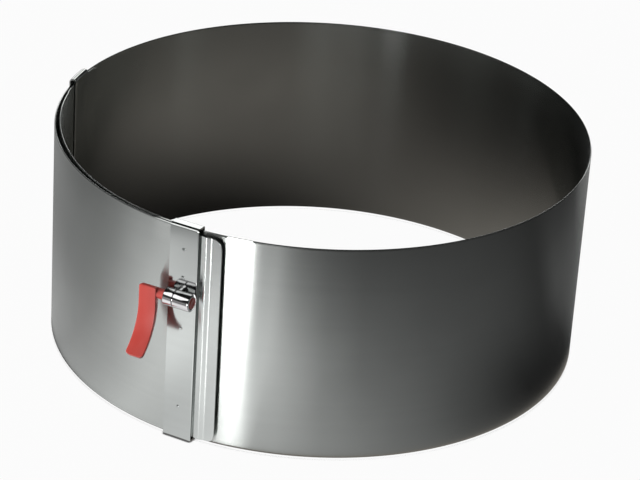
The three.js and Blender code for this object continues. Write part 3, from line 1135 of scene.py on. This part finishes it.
def flat_blank():
    """The blade lying flat: x across, y from front to back, z from the top edge downwards to the tip."""
    mesh = bmesh.new()
    ends = [(lever_width / 2, 0.0), (lever_tip_width / 2, -blade_length)]
    rows = [[mesh.verts.new((side * half, depth, z)) for side, depth in
             ((-1, 0), (1, 0), (1, lever_thickness), (-1, lever_thickness))] for half, z in ends]
    top, tip = rows
    mesh.faces.new(top)
    mesh.faces.new(tip[::-1])
    for i in range(4):
        nxt = (i + 1) % 4
        mesh.faces.new((top[i], tip[i], tip[nxt], top[nxt]))
    mesh.normal_update()
    for row, radius in ((top, lever_corner / 2), (tip, lever_corner)):
        edges = [mesh.edges.get((row[i], row[j])) for i, j in ((0, 3), (1, 2))]
        bmesh.ops.bevel(mesh, geom=edges, offset=radius, segments=6, profile=0.5, affect="EDGES")
    mesh.normal_update()
    rims = [edge for edge in mesh.edges if edge.calc_face_angle(0) > math.radians(sharp_rim)]
    bmesh.ops.bevel(mesh, geom=rims, offset=lever_edge, segments=4, profile=0.5, affect="EDGES")
    cuts = [blade_length * i / bend_cuts for i in range(1, bend_cuts)]
    cuts += [lever_heel * i / heel_cuts for i in range(2, heel_cuts + 1)]
    for down in cuts:
        bmesh.ops.bisect_plane(mesh, geom=mesh.verts[:] + mesh.edges[:] + mesh.faces[:], dist=1e-7,
                               plane_co=(0, 0, -down), plane_no=(0, 0, 1))
    bmesh.ops.recalc_face_normals(mesh, faces=mesh.faces[:])
    return mesh


def bend_blade(x, depth, z):
    """Where a point of the flat blank goes on the lever."""
    down = -z
    x *= 1 - lever_draft * depth / lever_thickness
    share = min(max((down - lever_straight) / (blade_length - lever_straight), 0), 1)
    depth *= 1 + (lever_tip_thickness / lever_thickness - 1) * share
    above_heel = max(1 - down / lever_heel, 0)
    depth *= 1 - lever_heel_cut * (1 - math.sqrt(max(1 - above_heel ** 2, 0)))
    front = pivot_out + lever_front
    top = pivot.z + lever_above
    if down <= lever_straight:
        return at_clamp(lever_middle + x, front - depth, top - down)
    turn = (down - lever_straight) / lever_curl
    reach = lever_curl + depth
    return at_clamp(lever_middle + x, front + lever_curl - reach * math.cos(turn),
                    top - lever_straight - reach * math.sin(turn))


print("blade", round(blade_length / mm, 1), "mm long")

# %% Bent blade and hub
blank = flat_blank()
for vertex in blank.verts:
    vertex.co = bend_blade(*vertex.co)
lever_mesh = bpy.data.meshes.new("lever_handle_moulded")
blank.to_mesh(lever_mesh)
blank.free()
lever_mesh.materials.append(red_plastic)
lever = place_object("lever_handle_moulded", lever_mesh)

hub_radius = 2.3 * mm
hub_round = 0.3 * mm
hub_depth = 6.2 * mm
hub_left = lever_right - hub_depth
axle_hole = 1.75 * mm
axle_end_gap = 0.25 * mm
lever_crease = 35
hub_profile = [(0, hub_left), *rounded_corner(hub_radius, hub_left, hub_round, 1),
               *rounded_corner(hub_radius, hub_right, hub_round, -1), (0, hub_right)]
hub = turned_piece("hub", hub_profile, pivot, across, red_plastic)
with_boolean(lever, hub, "UNION")
hole_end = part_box("cam_axle")[0].x - axle_end_gap
hole = rod("hole", axle_hole, hole_end, hub_right + overcut, pivot, across, red_plastic)
with_boolean(lever, hole, "DIFFERENCE")
smooth_below(lever, lever_crease)
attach(lever, "lever")
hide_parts("lever_handle")

# %% [markdown]
# ## End cap
# A small red plug closes the barrel's right-hand end. It is spun like the barrel, with a rounded rim and a
# shallow dish in the middle, as a moulded plug has where it was filled.

# %% End cap
cap_low, cap_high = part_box("end_cap")
cap_radius = (cap_high.z - cap_low.z) / 2
cap_round = 0.3 * mm
cap_dish = 0.12 * mm
cap_crease = 40
dish_shares = [(0.5, 0.0), (0.36, 0.8), (0.15, 1.0), (0.0, 1.0)]
cap_profile = [
    (0, cap_low.x),
    (cap_radius, cap_low.x),
    *rounded_corner(cap_radius, cap_high.x, cap_round, -1),
    *((cap_radius * out, cap_high.x - cap_dish * deep) for out, deep in dish_shares),
]
end_cap = turned_piece("end_cap_moulded", cap_profile, pivot, across, red_plastic)
smooth_below(end_cap, cap_crease)
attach(end_cap, "lever")
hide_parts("end_cap")

# %% [markdown]
# ## Spot welds
# Four spot welds hold the plate to the strip. Each leaves a small dent with a low rim on the plate's face,
# ringed with dark weld oxide that is kept to its upper side as painted shade. One dent is made in Geometry
# Nodes, a disc whose height follows a rule of its radius, and it is set on the four places with a little
# random turn and size, from a fixed seed. The tree also stores where the oxide and the painted shade lie, and
# the material reads that.

# %% Spot welds
weld_heights = [90.0 * mm, 77.0 * mm, 52.9 * mm, 14.8 * mm]
weld_x = 0.2 * mm
weld_radius = 0.95 * mm
weld_rim = 0.04 * mm
weld_turn = 0.45
weld_sizes = (0.85, 1.15)
weld_seed = 7
weld_points, weld_rings = 24, 8
dent_rise = (0.25, 0.7, 0.35, 1.0)
rim_fall = (0.7, 1.0, 1.0, 0.05)
burn_starts = (0.1, 0.35)
burn_ends = (0.55, 0.85, 1.0, 0.0)
painted_shade_side = (-0.5, 0.87)
painted_shade_edge = (-0.05, 0.35)
weld_clean, weld_dull = (0.48, 0.5, 0.49, 1), (0.44, 0.46, 0.45, 1)
weld_roughness, burnt_roughness = 0.1, 0.3


def weld_marks():
    tree, given = new_tree("Weld marks", ("Places", "Geometry"), ("Radius", "Float"), ("Rim", "Float"),
                           ("Seed", "Int"), ("Finish", "Material"))
    disc = add(tree, "GeometryNodeMeshCylinder", {
        "Vertices": weld_points, "Fill Segments": weld_rings, "Radius": given["Radius"], "Depth": given["Rim"]})
    x, y, z = point_place(tree)
    share = over(from_middle(x, y), given["Radius"])
    height = times(smooth_range(share, *dent_rise), smooth_range(share, *rim_fall))
    height = times(height, given["Rim"])
    on_top = calc("GREATER_THAN", z, 0.0)
    dented = moved(disc.outputs["Mesh"], x, y, times(height, on_top))

    # A ring of dark weld oxide, kept to the dent's upper side as painted shade.
    ring = times(smooth_range(share, *burn_starts), smooth_range(share, *burn_ends))
    shaded_side = scaled_sum(0.0, (x, painted_shade_side[0]), (y, painted_shade_side[1]))
    shaded_side = smooth_range(over(shaded_side, given["Radius"]), *painted_shade_edge)
    oxide_and_shade = add(tree, "GeometryNodeStoreNamedAttribute", {
        "Geometry": dented, "Name": "oxide_and_shade", "Value": times(ring, shaded_side)})

    seed = given["Seed"]
    turned = add(tree, "FunctionNodeRandomValue", {
        0: (math.pi / 2, -weld_turn, 0), 1: (math.pi / 2, weld_turn, 0), "Seed": seed}, data_type="FLOAT_VECTOR")
    spread = add(tree, "FunctionNodeRandomValue", {
        2: weld_sizes[0], 3: weld_sizes[1], "Seed": seed}, data_type="FLOAT")
    many = add(tree, "GeometryNodeInstanceOnPoints", {
        "Points": given["Places"], "Instance": oxide_and_shade.outputs[0], "Rotation": turned.outputs[0],
        "Scale": spread.outputs[1]})
    end_tree(many.outputs[0], given["Finish"])
    return tree


def weld_steel():
    material, tree, shader = new_finish("Weld steel")
    place = place_in(tree, "Object")
    smears = add_group(handling_group, place, smears_per_metre=metal_smears)["Smears"]
    # Near black where the weld oxide and the painted shade on the dent's upper side lie.
    oxide_and_shade = add(tree, "ShaderNodeAttribute", attribute_name="oxide_and_shade").outputs["Fac"]
    steel = mix_colours(smears, weld_clean, weld_dull)
    feed_all(shader, {
        "Base Color": mix_colours(oxide_and_shade, steel, grey(0.02)),
        "Metallic": 1,
        "Roughness": scaled_sum(weld_roughness, (oxide_and_shade, burnt_roughness))})
    return material


weld_finish = weld_steel()
weld_tree = weld_marks()
weld_places = [at_clamp(weld_x, plate_face_out, band_bottom + height) for height in weld_heights]
welds = new_piece("weld_marks", weld_places, [], weld_finish)
grow(welds, weld_tree, {"Radius": weld_radius, "Rim": weld_rim, "Seed": weld_seed, "Finish": weld_finish})
welds.data.shade_smooth()
report(welds)
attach(welds, "clamp")
